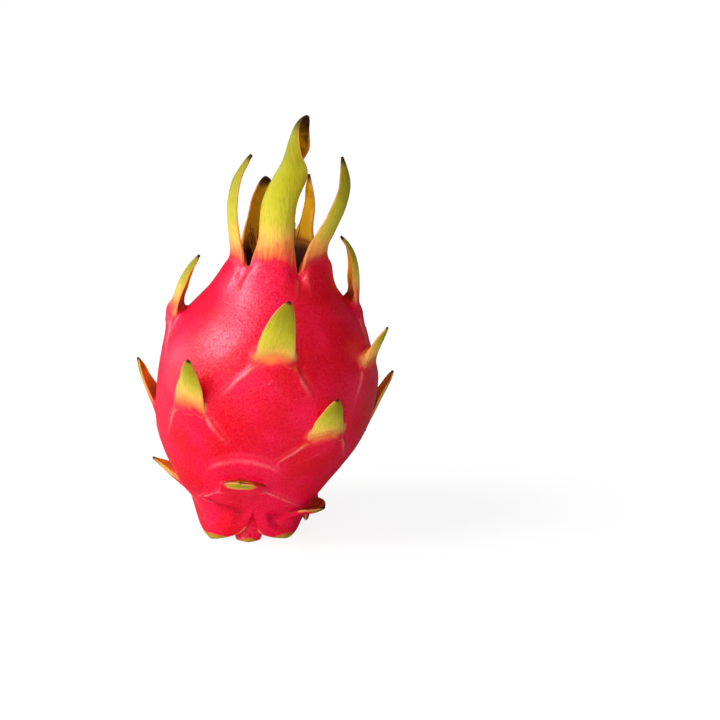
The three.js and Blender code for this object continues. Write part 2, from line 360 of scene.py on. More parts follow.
def scale_edge(b, distance, azimuth):
    """How far a place on the skin lies below a bract's base, how far inside the edge of its scale,
    and how far across from its middle."""
    down = (b["distance"] - distance) * b["way"]
    across = math.radians(turn_from(azimuth, b["azimuth"])) * skin_line.at(distance)[0].x
    spread = b["spread"][0] if across < 0 else b["spread"][1]
    arch = b["root"] / 2 * min(1, max(0, down) / ARCH) ** 0.5
    half = arch + spread * max(0, down - ARCH) ** SPREAD_POWER
    return down, half - abs(across), across


def slip_at(distance, azimuth):
    """How far the skin's rows slip down beside the middle of each bract, whose base is an arch."""
    slip = 0
    for b in BODY_BRACTS + FOOT_SCALES:
        down, _, across = scale_edge(b, distance, azimuth)
        beside = abs(across) / b["root"] * 2
        if abs(down) < 3 * ARCH_REACH and beside < 3:
            share = beside ** 2 if beside < 1 else hump(beside - 1, ARCH_FADE)
            slip += ARCH * b["way"] * share * hump(down, ARCH_REACH)
    return slip


def scale_relief(b, down, inside, across):
    """How far the scale stands out of the skin, and how clearly its edge shows."""
    reach = SCALE_REACH * min(1, b["height"] / FULL_REACH_HEIGHT) if b["way"] > 0 else FOOT_REACH
    fade = ease(SCALE_START, 1, down) * max(0, 1 - down / reach) ** SCALE_FADE_POWER
    ledge = SCALE_RISE * fade * ease(-LEDGE_WIDTH / 2, LEDGE_WIDTH / 2, inside)
    groove = GROOVE_DEPTH * fade * hump(inside + GROOVE_PLACE, GROOVE_WIDTH)
    edge = min(1, abs(across) / (b["root"] / 2 + 1))
    lip = LIP_RISE * b["lift"] / USUAL_LIFT * math.exp(-max(0, down) / LIP_LENGTH) * (1 - edge ** 2)
    shown = min(1, CREST_STRENGTH * fade) * ease(CREST_START, CREST_FULL, down) if b["way"] > 0 else 0
    if b in CROWN:
        shown *= CROWN_CREST
    return ledge - groove + lip * ease(SCALE_START, 0.5, down), shown


def fold_edge(b, down, across):
    """How far a place lies under the edge of the lid of skin over a bract, and how strong it is."""
    side = across / (LID_WIDTH * b["root"])
    if not b["fold"] or down > 1 or abs(side) >= 1:
        return 0, 0
    return b["fold"] * math.sqrt(1 - side ** 2) + down, ease(0, 0.5, 1 - abs(side))


def overhang_at(azimuth, height):
    """The relief of the skin's edge over the scales at the front foot, and of the crease below it, whose
    mask also places the painted shade in that crease.
    """
    turn = turn_from(azimuth, 0)
    ends = ease(OVERHANG[0][0], OVERHANG[1][0], turn) * ease(OVERHANG[-1][0], OVERHANG[-2][0], turn)
    if not ends or height > OVERHANG_TOP:
        return 0, 0
    above = height - overhang_line.at(overhang_line.where(0, turn))[0].y
    rise = OVERHANG_RISE * ease(-OVERHANG_EDGE, OVERHANG_EDGE, above) * ease(OVERHANG_REACH, 1, above)
    crease = ends * hump(above + CREASE_PLACE, CREASE_WIDTH)
    return ends * rise - OVERHANG_GROOVE * crease, crease


def neck_bulge_at(azimuth, height):
    return (NECK_BULGE_RISE * hump(height - NECK_BULGE_HEIGHT, NECK_BULGE_REACH)
            * hump(turn_from(azimuth, NECK_BULGE_AZIMUTH), NECK_BULGE_TURN))


def spine_of(b):
    """The middle line of a bract's free part: each point with the directions across it and behind it."""
    out = outward(b["azimuth"])
    side = around(b["azimuth"]) * b["way"]
    up = Vector((0, 0, b["way"]))
    point = on_skin(b["distance"], b["azimuth"], b["lift"])
    spine = []
    for i in range(SPINE_STEPS + 1):
        bend = (i / SPINE_STEPS) ** b["power"]
        lean = math.radians(b["lean"] + b["curl"] * bend)
        sway = math.radians(b["sway"] + b["veer"] * bend)
        rise = up * math.cos(lean) + out * math.sin(lean)
        forward = rise * math.cos(sway) + side * math.sin(sway)
        turn = b["twist"] * ease(TWIST_START, TWIST_END, i / SPINE_STEPS)
        twist = Matrix.Rotation(math.radians(turn), 3, forward)
        across = twist @ (side * math.cos(sway) - rise * math.sin(sway))
        back = twist @ (out * math.cos(lean) - up * math.sin(lean))
        spine.append((point.copy(), across, back))
        point += forward * (b["length"] / SPINE_STEPS)
    return spine


def width_at(b, share):
    taper = max(0, 1 - share ** b["fullness"]) ** TAPER_POWER
    blade = BLADE_WIDTH_SHARE * b["width"] * taper
    flare = (b["root"] - BLADE_WIDTH_SHARE * b["width"]) * math.exp(-share * b["length"] / FLARE)
    return max(TIP_WIDTH, blade + flare * min(1, 3 * taper))


def on_blade(b, spine, share, lane, face):
    """A point of the free blade: lane runs across it from -1 to 1, face from -1 inside to 1 outside."""
    point, across, back = spine[round(share * SPINE_STEPS)]
    width = width_at(b, share)
    fold = mix(b["root"] / 2 / b["radius"], math.radians(b["cup"]), ease(0, b["folded"], share))
    bend = width / 2 / fold
    early = math.exp(-share * b["length"] / BASE_LENGTH)
    thickness = mix(mix(BLADE_THICKNESS, TIP_THICKNESS, share), BASE_THICKNESS, early * (1 - lane ** 2))
    half = max(LEAST_THICKNESS / 2, thickness * mix(1, MARGIN_SHARE, lane * lane) / 2) * face
    turn = fold * lane
    wave = noise.noise(Vector((share * b["length"] / RIPPLE_SIZE, lane, b["azimuth"])))
    ripple = RIPPLE * wave * abs(lane) * min(1, 4 * share)
    return (point + across * ((bend + half) * math.sin(turn))
            + back * ((bend + half) * math.cos(turn) - bend + ripple))


def ring_shares(length):
    """How far along the blade its rings lie, from just off the skin to the tip."""
    count = max(5, round(length / RING_GAP))
    return [1 - (1 - i / count) ** RING_CROWDING for i in range(1, count)] + [LAST_RING, 1]


def body_outline():
    """The half outline of the body: up from the scar, over the rim and down into the hollow."""
    skin = [skin_line.at(skin_line.length * i / SKIN_ROWS)[0] for i in range(SKIN_ROWS + 1)]
    return [Vector(p) for p in SCAR] + skin + [Vector(p) for p in HOLLOW]


def spin_body(bm, layer, outline):
    for row, point in enumerate(outline):
        vert = bm.verts.new((0, -point.x, point.y))
        vert[layer["row"]] = row
    bm.verts.ensure_lookup_table()
    for a, b in zip(bm.verts[:-1], bm.verts[1:]):
        bm.edges.new((a, b))
    bmesh.ops.spin(bm, geom=bm.verts[:] + bm.edges[:], cent=(0, 0, 0), axis=(0, 0, 1),
                   angle=math.tau, steps=SIDES, use_merge=True)
    bmesh.ops.remove_doubles(bm, verts=bm.verts[:], dist=1e-4)
    bmesh.ops.recalc_face_normals(bm, faces=bm.faces[:])


def azimuth_to(point):
    return math.degrees(math.atan2(point.x, -point.y))


def faces_by_place(bm, layer):
    """Each face of the body by its column and row."""
    face_at = {}
    for face in bm.faces:
        column = int(azimuth_to(face.calc_center_median()) % 360 / STEP)
        face_at[column, round(min(v[layer["row"]] for v in face.verts))] = face
    return face_at


def shape_skin(v, layer, row, azimuth):
    """Moves a vertex of the skin to its place on the relief, and sets the marks that the colours
    follow."""
    distance = skin_line.length * (row - FIRST_SKIN_ROW) / SKIN_ROWS
    distance -= slip_at(distance, azimuth) * ease(0, ARCH_FREE_SCAR, distance)
    place = on_skin(distance, azimuth)
    overhang, crease = overhang_at(azimuth, place.z)
    relief = 0
    shade = PLAIN_SHADE
    soft = 0
    strongest = FAINTEST_EDGE
    for b in BRACTS:
        down, inside, across = scale_edge(b, distance, azimuth)
        if down < -NEARBY or down > SCALE_REACH + 5 or inside < -NEARBY:
            continue
        inside += EDGE_WOBBLE * noise.noise(place / EDGE_WOBBLE_SIZE)
        raised, clear = scale_relief(b, down, inside, across)
        relief = max(relief, raised) if raised > 0 else relief + raised
        under, strength = fold_edge(b, down, across)
        relief += LID_RISE * strength * ease(LID_START, 1, under) * ease(b["fold"], 2, under)
        for off, seen, shown in ((inside, clear, clear), (under, strength, LID_CREST * strength)):
            weight = seen * math.exp(-abs(off) / EDGE_FALL)
            if weight > strongest:
                strongest = weight
                v[layer["edge"]] = max(-FAR_EDGE, min(FAR_EDGE, off))
                v[layer["edge_fade"]] = shown
        beside = max(0, abs(across) - b["root"] / 2)
        away = math.hypot(beside * 2, down) + b["blush"] * b["length"]
        sideways = min(1, 2 * abs(across) / b["root"])
        shade = max(shade, -away / b["turning"] - b["fringe"] * sideways ** 2)
        soft = max(soft, ease(SOFT_REACH, SOFT_FULL, math.hypot(beside, down)))
    # the crease mask also says where the colours paint shade into the crease
    v[layer["crease"]] = crease
    v[layer["shade"]] = shade
    v[layer["soft"]] = soft
    v[layer["hollow"]] = 0.5 if row == RIM_ROW else 0
    ends = ease(0, WAVE_FREE_SCAR, distance) * ease(0, WAVE_FREE_RIM, skin_line.length - distance)
    wave = noise.noise(place / WAVE_SIZE) + FINE_WAVE_SHARE * noise.noise(place / FINE_WAVE_SIZE)
    relief += overhang + neck_bulge_at(azimuth, place.z)
    v.co = on_skin(distance, azimuth, relief + WAVE_DEPTH * wave * ends)
    v.co.z -= dip_at(azimuth) * ease(skin_line.length - DIP_REACH, skin_line.length, distance)


def grow_bract(bm, layer, index, b, face_at, azimuth_of):
    """Draws a bract out of a block of the body's faces, ring by ring."""
    columns = max(4, round(b["root"] / math.radians(STEP) / b["radius"]))
    first = round(b["azimuth"] / STEP - columns / 2)
    middle = RIM_ROW
    if b not in CROWN:
        middle = FIRST_SKIN_ROW + round(b["distance"] / skin_line.length * SKIN_ROWS) + b["way"]
    faces = [face_at[(first + i) % SIDES, row] for i in range(columns) for row in (middle - 1, middle)]
    root = {}
    for vert in {v for face in faces for v in face.verts}:
        turn = (azimuth_of[vert] - first * STEP + 90) % 360 - 90
        vert[layer["lane"]] = (2 * turn / (columns * STEP) - 1) * b["way"]
        vert[layer["face"]] = (middle - round(vert[layer["row"]])) * b["way"]
        if b in CROWN:
            vert[layer["inside"]] = 0.5 - vert[layer["face"]] / 2
            vert[layer["hollow"]] = max(0, -0.7 * vert[layer["face"]])
        root[round(vert[layer["lane"]], 3), round(vert[layer["face"]])] = vert.co.copy()

    spine = spine_of(b)
    for share in ring_shares(b["length"]):
        made = bmesh.ops.extrude_face_region(bm, geom=faces)["geom"]
        bmesh.ops.delete(bm, geom=faces, context="FACES")
        faces = [item for item in made if isinstance(item, bmesh.types.BMFace)]
        reached = share * b["length"]
        joined = ease(0, min(ROOT_BLEND, ROOT_BLEND_SHARE * b["length"]), reached)
        moved = spine[round(share * SPINE_STEPS)][0] - spine[0][0]
        for vert in (item for item in made if isinstance(item, bmesh.types.BMVert)):
            lane, face = vert[layer["lane"]], vert[layer["face"]]
            drawn = root[round(lane, 3), round(face)] + moved * (1 - MARGIN_LAG * lane ** 2)
            vert.co = drawn.lerp(on_blade(b, spine, share, lane, face), joined)
            shade = (share - b["blush"]) * b["length"] / b["turning"] - b["fringe"] * lane ** 2
            if b["edging"]:
                inward = (1 - abs(lane)) * width_at(b, share) / 2
                shade = max(shade, -0.1 - inward / EDGING_WIDTH + PLAIN_SHADE * ease(0.4, 0.15, share))
            vert[layer["shade"]] = shade
            vert[layer["soft"]] = ease(min(SOFT_REACH, 0.5 * b["length"]), 1, reached)
            vert[layer["hollow"]] *= 0.5
            vert[layer["share"]] = share
            vert[layer["inside"]] = 0.5 - face / 2
            vert[layer["seed"]] = index
            vert[layer["tip"]] = max(0, 1 - (1 - share) / b["dry"]) if b["dry"] else 0
            vert[layer["edge_fade"]] *= 1 - joined
            vert[layer["crease"]] *= 1 - joined


def make_fruit():
    """The body, with every bract drawn out of its skin."""
    bm = bmesh.new()
    layer = {name: bm.verts.layers.float.new(name) for name in
             ("row", "lane", "face", "shade", "share", "inside", "edge", "edge_fade", "seed", "tip",
              "hollow", "soft", "crease")}
    outline = body_outline()
    hollow_floor = outline[-1].y
    spin_body(bm, layer, outline)
    face_at = faces_by_place(bm, layer)
    azimuth_of = {v: azimuth_to(v.co) for v in bm.verts}

    for v in bm.verts:
        row = round(v[layer["row"]])
        azimuth = azimuth_of[v]
        v[layer["shade"]] = PLAIN_SHADE
        v[layer["edge"]] = -FAR_EDGE
        if FIRST_SKIN_ROW <= row <= RIM_ROW:
            shape_skin(v, layer, row, azimuth)
            continue
        radius, height = outline[row]
        v.co = axis_at(height) + outward(azimuth) * radius
        if row > RIM_ROW:
            v.co.z -= dip_at(azimuth) * ease(hollow_floor, RIM_HEIGHT, height)
            v[layer["hollow"]] = 1

    for index, b in enumerate(BRACTS):
        grow_bract(bm, layer, index, b, face_at, azimuth_of)
    for v in bm.verts:
        v.co.z = max(0, v.co.z)
    bm.verts.layers.float.remove(bm.verts.layers.float["row"])
    bm.verts.layers.float.remove(bm.verts.layers.float["face"])
    fruit = finish_mesh(bm, "dragon_fruit", levels=1)
    refine(fruit)
    return fruit


def refine(fruit):
    """Makes the smoothing real. On the finer mesh it softens the folds round the bracts' bases and
    raises the thin ridges along the scales."""
    graph = bpy.context.evaluated_depsgraph_get()
    fruit.data = bpy.data.meshes.new_from_object(fruit.evaluated_get(graph))
    fruit.modifiers.clear()
    bm = bmesh.new()
    bm.from_mesh(fruit.data)
    soft = bm.verts.layers.float["soft"]
    folds = []
    for v in bm.verts:
        if v[soft] > LEAST_SOFT:
            folds.append((v, SOFT_STEP * v[soft], [edge.other_vert(v) for edge in v.link_edges]))
    for _ in range(SOFT_ROUNDS):
        moved = [v.co.lerp(sum((n.co for n in near), Vector()) / len(near), share)
                 for v, share, near in folds]
        for (v, _, _), co in zip(folds, moved):
            v.co = co
    bm.verts.layers.float.remove(soft)
    edge, fade = bm.verts.layers.float["edge"], bm.verts.layers.float["edge_fade"]
    bm.normal_update()
    for v in bm.verts:
        v.co += v.normal * (CREST_HEIGHT * v[fade] * hump(v[edge], CREST_WIDTH) * MM)
    bm.to_mesh(fruit.data)
    bm.free()


def finish_mesh(bm, name, levels=0):
    """A bmesh in millimetres as a smooth object in metres."""
    bmesh.ops.scale(bm, vec=(MM, MM, MM), verts=bm.verts[:])
    for face in bm.faces:
        face.smooth = True
    mesh = bpy.data.meshes.new(name)
    bm.to_mesh(mesh)
    bm.free()
    piece = bpy.data.objects.new(name, mesh)
    bpy.context.scene.collection.objects.link(piece)
    if levels:
        subdivision = piece.modifiers.new("smooth", "SUBSURF")
        subdivision.levels = levels
        subdivision.render_levels = levels
    return piece


fruit = make_fruit()
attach(fruit, "root")
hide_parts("fruit")


def new_material(name):
    material = bpy.data.materials.new(name)
    material.use_nodes = True
    tree = material.node_tree
    return material, tree, tree.nodes["Principled BSDF"]


class Nodes:
    """Short calls that add the nodes of one tree and join them up."""

    # The places of a Mix node's sockets for colour
    MIX_A, MIX_B, MIX_RESULT = 6, 7, 2

    def __init__(self, tree):
        self.tree = tree

    def add(self, kind, settings=None, **inputs):
        node = self.tree.nodes.new(kind)
        for key, value in (settings or {}).items():
            setattr(node, key, value)
        for key, value in inputs.items():
            self.feed(node.inputs[key.replace("_", " ")], value)
        return node

    def feed(self, socket, value):
        if isinstance(value, bpy.types.NodeSocket):
            self.tree.links.new(value, socket)
        else:
            socket.default_value = value

    def mark(self, name):
        """A value kept on the mesh's vertices."""
        return self.add("ShaderNodeAttribute", {"attribute_name": name}).outputs["Fac"]

    def maths(self, operation, *values, clamp=False):
        node = self.add("ShaderNodeMath", {"operation": operation, "use_clamp": clamp})
        for socket, value in zip(node.inputs, values):
            self.feed(socket, value)
        return node.outputs[0]

    def plus(self, a, b):
        return self.maths("ADD", a, b)

    def minus(self, a, b):
        return self.maths("SUBTRACT", a, b)

    def times(self, a, b):
        return self.maths("MULTIPLY", a, b)

    def most(self, a, b):
        return self.maths("MAXIMUM", a, b)

    def remap(self, value, low, high, to_low=0.0, to_high=1.0):
        node = self.add("ShaderNodeMapRange", {"interpolation_type": "SMOOTHSTEP"})
        for key, number in (("Value", value), ("From Min", low), ("From Max", high),
                            ("To Min", to_low), ("To Max", to_high)):
            self.feed(node.inputs[key], number)
        return node.outputs["Result"]

    def blend(self, share, a, b):
        node = self.add("ShaderNodeMix", {"data_type": "RGBA"})
        self.feed(node.inputs["Factor"], share)
        self.feed(node.inputs[self.MIX_A], a)
        self.feed(node.inputs[self.MIX_B], b)
        return node.outputs[self.MIX_RESULT]

    def ramp(self, value, stops):
        node = self.add("ShaderNodeValToRGB", Fac=value)
        band = node.color_ramp
        while len(band.elements) < len(stops):
            band.elements.new(0.5)
        for element, (position, colour) in zip(band.elements, stops):
            element.position = position
            element.color = colour
        return node.outputs["Color"]

    def hump_at(self, value, middle, width):
        """1 where the value is at the middle, falling to 0 about a width away."""
        off = self.maths("DIVIDE", self.minus(value, middle), width)
        return self.maths("EXPONENT", self.times(self.times(off, off), -1))

    def cloud(self, vector, size, detail=3.0, roughness=0.5):
        """Noise from 0 to 1 whose grains are about a size across, in the units of the vector."""
        return self.add("ShaderNodeTexNoise", Vector=vector, Scale=1 / size, Detail=detail,
                        Roughness=roughness).outputs["Fac"]


def rgb(red, green, blue):
    return (red, green, blue, 1.0)


SKIN_PINK = rgb(0.88, 0.003, 0.050)
SKIN_RED = rgb(0.74, 0.0, 0.010)
GRAIN_PINK = rgb(0.96, 0.018, 0.13)
PORE_RED = rgb(0.58, 0.0, 0.020)
# painted shade: a dark red laid along the crease under the skin's overhang at the foot
CREASE_SHADE_RED = rgb(0.36, 0.0, 0.010)
# pale pink along the scales' ridges: partly their own colour, partly painted highlight on the crests
RIDGE_HIGHLIGHT_PINK = rgb(0.95, 0.26, 0.26)
RIDGE_ORANGE = rgb(0.92, 0.30, 0.09)
MARGIN_ORANGE = rgb(0.86, 0.30, 0.11)
WITHERED = rgb(0.040, 0.016, 0.005)
RIM_BROWN = rgb(0.36, 0.11, 0.012)
# dark maroon deep in the hollow: partly its own colour, partly painted shade in the recess
HOLLOW_BROWN_AND_SHADE = rgb(0.06, 0.010, 0.003)
# Colours of a bract's outside and inside, from where its pink ends to its full colour
OUTSIDE = [
    (-0.6, rgb(0.88, 0.012, 0.045)),
    (-0.25, rgb(0.94, 0.17, 0.055)),
    (0.0, rgb(0.95, 0.37, 0.085)),
    (0.3, rgb(0.86, 0.51, 0.080)),
    (0.7, rgb(0.64, 0.54, 0.045)),
    (1.5, rgb(0.54, 0.51, 0.022)),
]
OUTSIDE_TIP = rgb(0.28, 0.27, 0.002)
STREAK_YELLOW = rgb(0.80, 0.66, 0.16)
OLIVE = rgb(0.26, 0.19, 0.010)
INSIDE = [
    (-0.6, rgb(0.42, 0.020, 0.006)),
    (-0.1, rgb(0.62, 0.16, 0.006)),
    (0.6, rgb(0.80, 0.40, 0.004)),
    (1.5, rgb(0.72, 0.38, 0.003)),
]
INSIDE_TIP = rgb(0.10, 0.045, 0.002)
TURN_LOW = -1.0  # the ramps cover this part of the marks
TURN_HIGH = 1.5
# Colours of the shine on the skin, between its pores and in them, on the bracts and in the hollow
SKIN_SHINE = rgb(1, 0.85, 1)
PORE_SHINE = rgb(0.6, 0.25, 0.45)
BRACT_SHINE = rgb(0.25, 0.2, 0.12)
HOLLOW_SHINE = rgb(0.03, 0.01, 0.003)
# Sizes of the patterns on the surface, in metres
CLOUD_SIZE = 0.022
GRAIN_SIZE = 0.0009
SPECKLE_SIZE = 0.0008
RIDGE_BREAK_SIZE = 0.007
BLOTCH_SIZE = 0.006
RIDGE_WIDTH = 0.9  # millimetres, as the marks are
SECOND_RIDGE = -3  # how far outside the first a fainter ridge line runs, its pale colour partly painted highlight
SECOND_RIDGE_WIDTH = 0.8
SECOND_RIDGE_SHARE = 0.2
# The streaks' pattern is stretched along a bract, and each bract has its own part of it
STREAKS_ACROSS = 3.2
STREAKS_ALONG = 1.5
STREAKS_APART = 7.3
STREAK_SIZE = 0.4
VEIN_SIZE = 0.11
BUMP_DEPTH = 0.0005


def turning_ramp(nodes, value, stops):
    """A ramp over the marks from TURN_LOW to TURN_HIGH."""
    span = TURN_HIGH - TURN_LOW
    share = nodes.maths("DIVIDE", nodes.minus(value, TURN_LOW), span, clamp=True)
    return nodes.ramp(share, [((mark - TURN_LOW) / span, colour) for mark, colour in stops])


def skin_colour(nodes, place, grain, speckle):
    """Two reds in slow clouds, with a fine pink grain, darker pores and painted shade along the creases.
    """
    slow = nodes.cloud(place, CLOUD_SIZE, 2.0)
    skin = nodes.blend(nodes.remap(slow, 0.35, 0.65), SKIN_RED, SKIN_PINK)
    skin = nodes.blend(nodes.remap(grain, 0.5, 0.7, 0.0, 0.3), skin, GRAIN_PINK)
    skin = nodes.blend(nodes.remap(speckle, 0.5, 0.66, 0.0, 0.45), skin, PORE_RED)
    # painted shade darkens the skin along the crease
    return nodes.blend(nodes.times(nodes.mark("crease"), 0.7), skin, CREASE_SHADE_RED)


def ridge_share(nodes, place):
    """Where the thin pale ridges along the edges of the scales show; their pale colour is partly their
    own and partly painted highlight on the crests. They break off here and there.
    """
    edge = nodes.mark("edge")
    second = nodes.times(nodes.hump_at(edge, SECOND_RIDGE, SECOND_RIDGE_WIDTH), SECOND_RIDGE_SHARE)
    ridge = nodes.times(nodes.plus(nodes.hump_at(edge, 0, RIDGE_WIDTH), second), nodes.mark("edge_fade"))
    return nodes.times(ridge, nodes.remap(nodes.cloud(place, RIDGE_BREAK_SIZE), 0.3, 0.55))


def outside_colour(nodes, turned, share, blotch, streaks, streak):
    """Orange at the base, then yellow and green, olive at the tip, with yellow streaks and fine veins."""
    outside = turning_ramp(nodes, turned, OUTSIDE)
    outside = nodes.blend(nodes.remap(share, 0.3, 1.0, 0.0, 0.9), outside, OUTSIDE_TIP)
    outside = nodes.blend(nodes.remap(streak, 0.52, 0.72, 0.0, 0.3), outside, STREAK_YELLOW)
    veins = nodes.cloud(streaks, VEIN_SIZE, 2.0, 0.6)
    outside = nodes.blend(nodes.remap(veins, 0.5, 0.68, 0.0, 0.35), outside, OLIVE)
    patches = nodes.times(nodes.remap(nodes.plus(share, blotch), 0.8, 1.4), 0.3)
    return nodes.blend(patches, outside, OLIVE)


def inside_colour(nodes, turned, share, blotch):
    """Orange-brown, darker at the tip."""
    inside = turning_ramp(nodes, turned, INSIDE)
    return nodes.blend(nodes.remap(nodes.plus(share, blotch), 1.1, 1.6), inside, INSIDE_TIP)


def make_skin():
    material, tree, shader = new_material("dragon_fruit_skin")
    nodes = Nodes(tree)
    place = nodes.add("ShaderNodeTexCoord").outputs["Object"]
    lane, share, seed, shade = (nodes.mark(name) for name in ("lane", "share", "seed", "shade"))

    # The patterns
    grain = nodes.cloud(place, GRAIN_SIZE, 4.0, 0.7)
    speckle = nodes.cloud(place, SPECKLE_SIZE, 2.0, 0.7)
    blotch = nodes.cloud(place, BLOTCH_SIZE, 3.0, 0.6)
    across = nodes.plus(nodes.times(lane, STREAKS_ACROSS), nodes.times(seed, STREAKS_APART))
    streaks = nodes.add("ShaderNodeCombineXYZ", X=across, Y=nodes.times(share, STREAKS_ALONG),
                        Z=seed).outputs[0]
    streak = nodes.cloud(streaks, STREAK_SIZE, 3.0, 0.6)

    # The skin turns into the bracts' colours along an uneven line
    uneven = nodes.plus(nodes.times(nodes.minus(streak, 0.5), 0.5),
                        nodes.times(nodes.minus(blotch, 0.5), 0.6))
    turned = nodes.plus(shade, uneven)
    bract_share = nodes.remap(turned, -0.8, -0.35)
    inward = nodes.remap(nodes.mark("inside"), 0.45, 0.75)
    ridge = ridge_share(nodes, place)
    # The ridges' pale pink is partly painted highlight on their crests; near the bases they turn orange,
    # their own colour
    ridge_colour = nodes.blend(nodes.remap(shade, -1.3, -0.7), RIDGE_HIGHLIGHT_PINK, RIDGE_ORANGE)
    skin = skin_colour(nodes, place, grain, speckle)
    skin = nodes.blend(nodes.times(ridge, 0.75), skin, ridge_colour)
    outside = outside_colour(nodes, turned, share, blotch, streaks, streak)
    surface = nodes.blend(bract_share, skin, outside)
    surface = nodes.blend(inward, surface, inside_colour(nodes, turned, share, blotch))

    # Thin pale margins, dry tips and the hollow at the crown, brown at the rim and darker deeper in:
    # partly its own colour, partly painted shade
    margin = nodes.remap(nodes.maths("ABSOLUTE", lane), 0.88, 1.0, 0.0, 0.65)
    surface = nodes.blend(nodes.times(margin, bract_share), surface, MARGIN_ORANGE)
    dry = nodes.plus(nodes.mark("tip"), nodes.times(blotch, 0.4))
    surface = nodes.blend(nodes.remap(dry, 0.4, 1.05), surface, WITHERED)
    hollow = nodes.plus(nodes.mark("hollow"), nodes.times(blotch, 0.3))
    deep = nodes.remap(hollow, 0.35, 0.6)
    surface = nodes.blend(deep, surface, RIM_BROWN)
    # painted shade: the hollow darkens deeper into the recess
    surface = nodes.blend(nodes.remap(hollow, 0.65, 1.0), surface, HOLLOW_BROWN_AND_SHADE)

    # The bracts and the hollow shine less than the skin, and the pores less than what is between them
    dull = nodes.most(bract_share, nodes.most(inward, deep))
    shine = nodes.blend(nodes.remap(speckle, 0.4, 0.62), SKIN_SHINE, PORE_SHINE)
    shine = nodes.blend(dull, shine, BRACT_SHINE)
    shine = nodes.blend(deep, shine, HOLLOW_SHINE)
    roughness = nodes.plus(nodes.remap(grain, 0.3, 0.8, 0.28, 0.42), nodes.times(dull, 0.2))
    height = nodes.plus(nodes.plus(nodes.times(grain, 0.5), ridge), nodes.times(streak, bract_share))
    bump = nodes.add("ShaderNodeBump", Height=height, Strength=0.6, Distance=BUMP_DEPTH)

    nodes.feed(shader.inputs["Base Color"], surface)
    nodes.feed(shader.inputs["Normal"], bump.outputs[0])
    nodes.feed(shader.inputs["Roughness"], roughness)
    nodes.feed(shader.inputs["Specular Tint"], shine)
    shader.inputs["Specular IOR Level"].default_value = 0.85
    shader.inputs["Subsurface Weight"].default_value = 0.12
    shader.inputs["Subsurface Radius"].default_value = (1.0, 0.12, 0.08)
    shader.inputs["Subsurface Scale"].default_value = 0.004
    return material


fruit.data.materials.append(make_skin())


# The dried flower: a stub on the hollow's floor, with shreds round it
FLOWER_FLOOR = 105.5
STUB_LOW_RADIUS = 4
STUB_TOP_RADIUS = 5
STUB_HEIGHT = 7
SHREDS = 15
SHRED_WIDTH = 1.9
SHRED_LEAST_WIDTH = 0.4
SHRED_THICKNESS = 0.7
SHRED_START = 3.4  # how far out and how high the shreds start
SHRED_LOW = 4
# Colours from the dark to the light fibres
FIBRES = [
    (0.3, rgb(0.07, 0.014, 0.002)),
    (0.5, rgb(0.30, 0.10, 0.010)),
    (0.7, rgb(0.60, 0.27, 0.03)),
]
FIBRE_SIZE = 0.0012


def make_flower():
    """The dried flower: a crumpled stub with shrivelled shreds round it."""
    roll = random.Random(4)
    bm = bmesh.new()
    centre = axis_at(FLOWER_FLOOR)
    bmesh.ops.create_cone(bm, cap_ends=True, segments=24, radius1=STUB_LOW_RADIUS,
                          radius2=STUB_TOP_RADIUS, depth=STUB_HEIGHT,
                          matrix=Matrix.Translation(centre + Vector((0, 0, STUB_HEIGHT / 2))))
    bmesh.ops.subdivide_edges(bm, edges=bm.edges[:], cuts=2, use_grid_fill=True)
    for vert in bm.verts:
        vert.co += (vert.co - centre).normalized() * 0.5 * noise.noise(vert.co / 1.7)
    for i in range(SHREDS):
        azimuth = 360 * i / SHREDS + 20 * roll.random()
        length = 12 + 10 * roll.random()
        lean = 6 + 56 * roll.random()
        strip = bmesh.ops.create_grid(bm, x_segments=3, y_segments=12, size=1)["verts"]
        side = around(azimuth + roll.uniform(-30, 30))
        for vert in strip:
            lane, share = vert.co.x, (vert.co.y + 1) / 2
            width = SHRED_WIDTH * (1.05 - share ** 2)
            out = SHRED_START + length * share * math.sin(math.radians(lean * (1 - 0.5 * share)))
            wobble = noise.noise(Vector((azimuth, share * 3, lane)))
            vert.co = (centre + outward(azimuth) * (out + 0.8 * wobble * share)
                       + side * lane * max(SHRED_LEAST_WIDTH, width)
                       + Vector((0, 0, SHRED_LOW + length * share)))
        faces = list({face for vert in strip for face in vert.link_faces})
        bmesh.ops.solidify(bm, geom=faces, thickness=SHRED_THICKNESS)
    return finish_mesh(bm, "dried_petals", levels=1)


def make_flower_material():
    material, tree, shader = new_material("dried_petals")
    nodes = Nodes(tree)
    place = nodes.add("ShaderNodeTexCoord").outputs["Object"]
    stretched = nodes.add("ShaderNodeMapping", Vector=place, Scale=(1.0, 1.0, 0.25)).outputs[0]
    fibre = nodes.cloud(stretched, FIBRE_SIZE, 4.0, 0.65)
    bump = nodes.add("ShaderNodeBump", Height=fibre, Strength=0.8, Distance=BUMP_DEPTH)
    nodes.feed(shader.inputs["Base Color"], nodes.ramp(fibre, FIBRES))
    nodes.feed(shader.inputs["Normal"], bump.outputs[0])
    nodes.feed(shader.inputs["Roughness"], nodes.remap(fibre, 0.2, 0.8, 0.95, 0.75))
    shader.inputs["Specular IOR Level"].default_value = 0.05
    return material


flower = make_flower()
flower.data.materials.append(make_flower_material())
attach(flower, "root")
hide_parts("dried_flower")


# The camera stands in front and looks down a little
CAMERA_ELEVATION = 18
CAMERA_DISTANCE = 1.0
SENSOR_WIDTH = 36
FRAME_PIXELS = 720
PIXEL_MM = 0.42
BASE_PIXEL = (249, 524)  # where the fruit's origin falls in the frame


